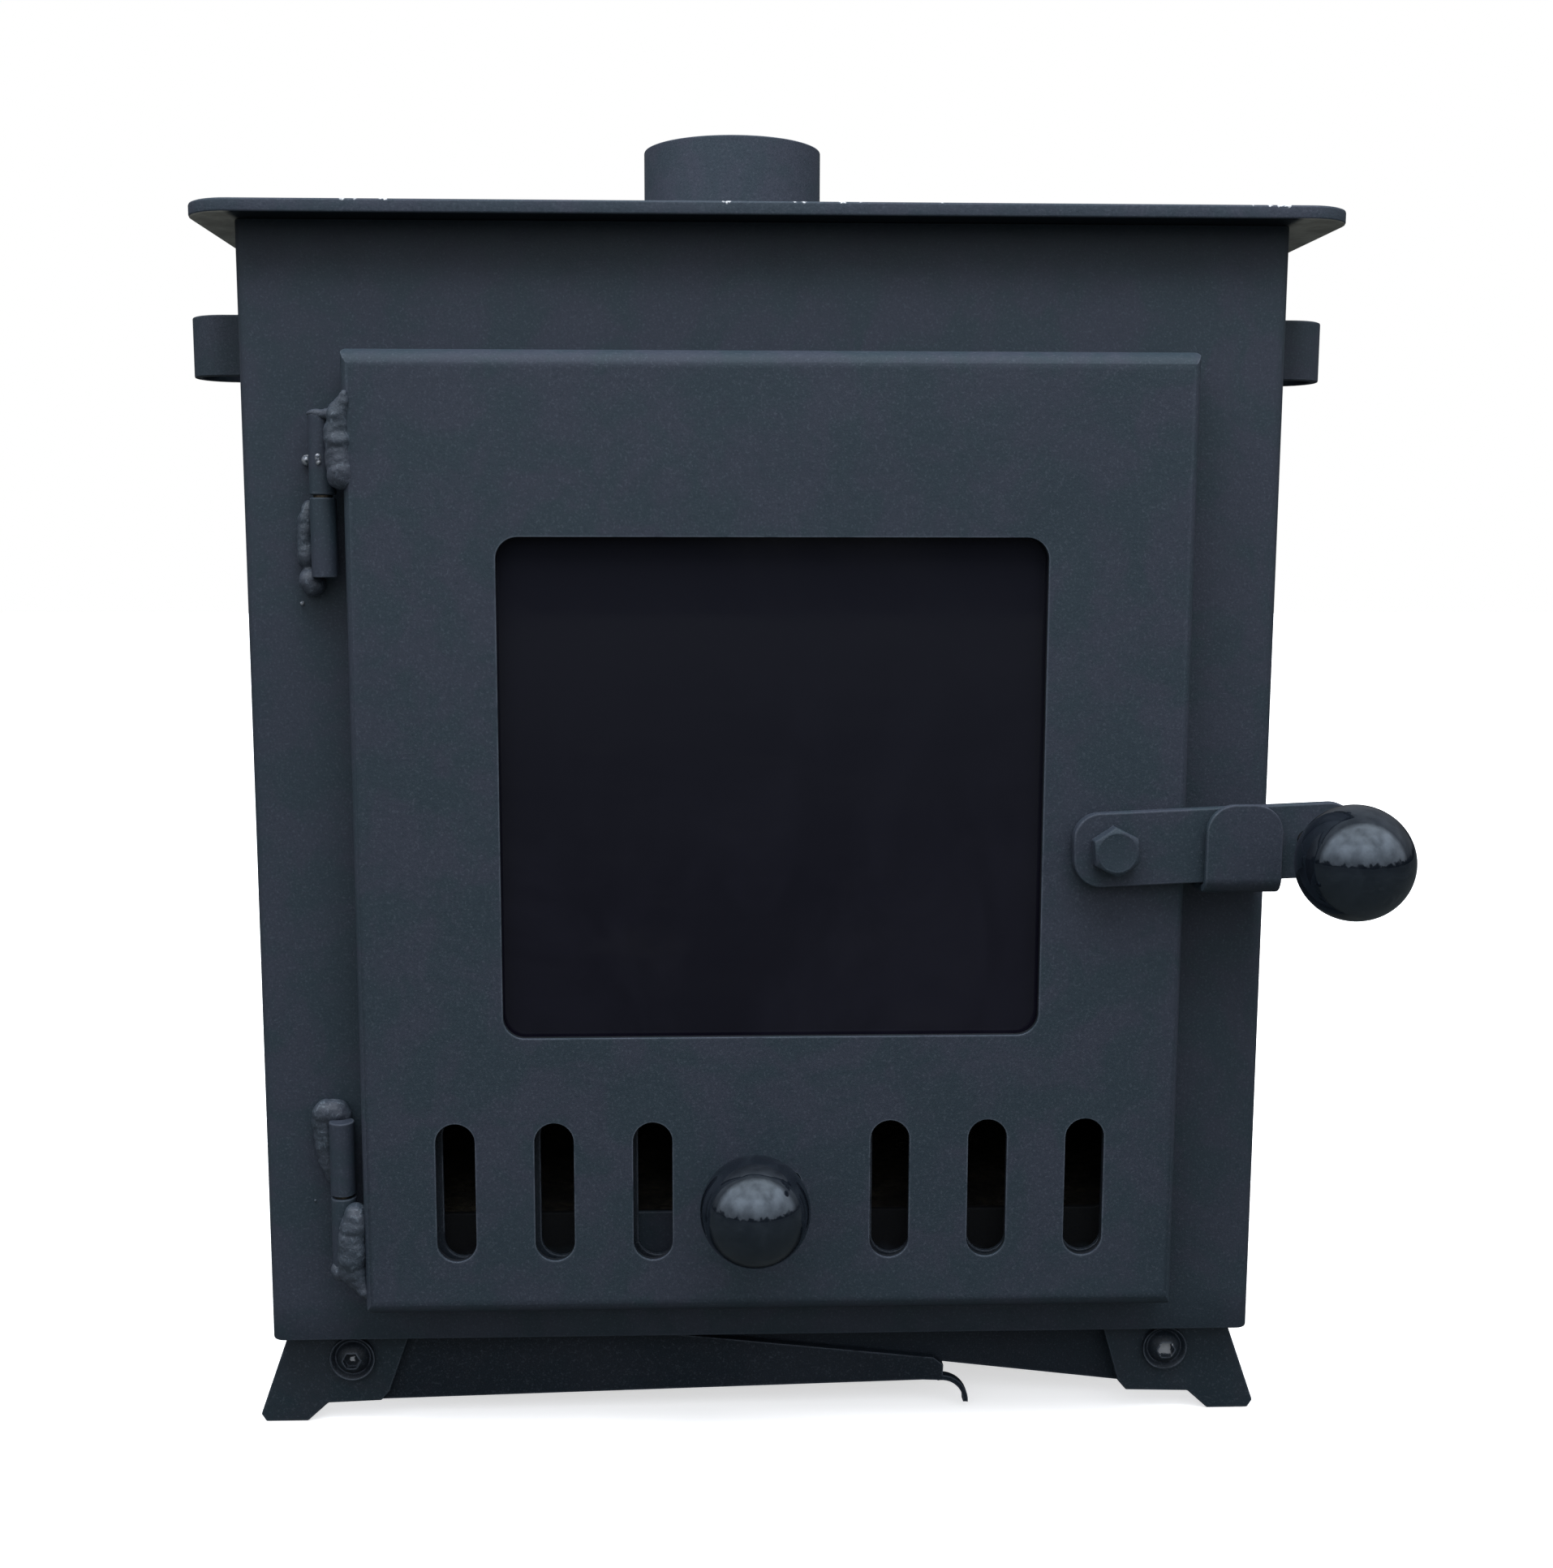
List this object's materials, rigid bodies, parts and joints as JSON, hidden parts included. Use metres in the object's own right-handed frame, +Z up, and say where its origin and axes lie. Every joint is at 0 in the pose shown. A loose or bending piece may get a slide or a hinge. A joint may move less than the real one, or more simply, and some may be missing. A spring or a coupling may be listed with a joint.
{
  "type": "wood burning stove",
  "caption": "Compact sheet-steel wood burning stove with a glazed latched door, a sliding air control, a round flue collar and legs that fold flat under the body.",
  "frame": {"origin": "on the ground, under the middle of the stove's outline as it stands on its feet with its legs folded", "axes": "+Z up, the door faces -Y, +X is to the right of someone who faces the door"},
  "size_m": [0.436, 0.382, 0.5105],
  "materials": {
    "stove_paint": "matt heat-proof stove paint, blue-grey charcoal, worn at the edges",
    "top_paint": "matt heat-proof stove paint, chipped to bare steel along the front edge",
    "bare_steel": "plain zinc or mill finish",
    "washer_brass": "plain",
    "stove_glass": "flat heat-proof glass that looks near black over the dark firebox",
    "seal_rope": "knitted glass-fibre rope and tape",
    "knob_black": "glossy black phenolic",
    "firebrick": "pressed vermiculite board"
  },
  "bodies": {
    "stove": {"body_shell": "stove_paint", "back_panel": "stove_paint", "base_plate": "stove_paint", "hot_plate": "top_paint", "flue_collar": "top_paint", "baffle_plate": "bare_steel", "baffle_rests": "bare_steel", "brick_floor": "firebrick", "brick_left": "firebrick", "brick_right": "firebrick", "brick_back": "firebrick", "side_loop_left": "stove_paint", "side_loop_right": "stove_paint", "latch_keep": "stove_paint", "hinge_barrel_body_upper": "stove_paint", "hinge_barrel_body_lower": "stove_paint", "hinge_pins": "bare_steel", "hinge_washers": "washer_brass", "hinge_welds_body": "stove_paint", "foot_front_left": "stove_paint", "foot_front_right": "stove_paint", "foot_rear_left": "stove_paint", "foot_rear_right": "stove_paint", "leg_bolts": "stove_paint", "leg_washers": "bare_steel", "leg_spacers": "bare_steel", "leg_nuts": "bare_steel"},
    "door": {"hinge_barrel_door_upper": "stove_paint", "hinge_barrel_door_lower": "stove_paint", "hinge_welds_door": "stove_paint", "door_panel": "stove_paint", "door_glass": "stove_glass", "glass_gasket": "seal_rope", "glass_clips": "bare_steel", "glass_clip_screws": "bare_steel", "rope_ledge": "stove_paint", "rope_seal": "seal_rope", "air_slide_rails": "stove_paint", "latch_bolt": "stove_paint", "latch_washers": "bare_steel", "latch_nut": "bare_steel"},
    "air_control": {"air_slide": "stove_paint", "air_knob": "knob_black", "air_knob_stud": "bare_steel", "air_knob_nut": "bare_steel"},
    "latch": {"latch_bar": "stove_paint", "latch_knob": "knob_black", "latch_knob_stud": "bare_steel"},
    "leg_front_left_body": {"leg_front_left": "stove_paint"},
    "leg_front_right_body": {"leg_front_right": "stove_paint"},
    "leg_rear_left_body": {"leg_rear_left": "stove_paint"},
    "leg_rear_right_body": {"leg_rear_right": "stove_paint"}
  },
  "joints": [
    {"name": "door_swing", "type": "hinge", "parent": "stove", "child": "door", "pos_m": [-0.16, -0.109, 0.25], "axis": [0, 0, -1], "range_deg": [0, 120]},
    {"name": "latch_lift", "type": "hinge", "parent": "door", "child": "latch", "pos_m": [0.126, -0.123, 0.233], "axis": [0, -1, 0], "range_deg": [0, 90]},
    {"name": "air_slide_travel", "type": "slide", "parent": "door", "child": "air_control", "axis": [1, 0, 0], "range_m": [-0.0016, 0.014]},
    {"name": "leg_front_left_fold", "type": "hinge", "parent": "stove", "child": "leg_front_left_body", "pos_m": [-0.1615, -0.0866, 0.0265], "axis": [0, 1, 0], "range_deg": [0, 107]},
    {"name": "leg_front_right_fold", "type": "hinge", "parent": "stove", "child": "leg_front_right_body", "pos_m": [0.16, -0.0866, 0.0265], "axis": [0, -1, 0], "range_deg": [0, 112]},
    {"name": "leg_rear_left_fold", "type": "hinge", "parent": "stove", "child": "leg_rear_left_body", "pos_m": [-0.1615, 0.1646, 0.0265], "axis": [0, 1, 0], "range_deg": [0, 107]},
    {"name": "leg_rear_right_fold", "type": "hinge", "parent": "stove", "child": "leg_rear_right_body", "pos_m": [0.16, 0.1646, 0.0265], "axis": [0, -1, 0], "range_deg": [0, 112]}
  ]
}
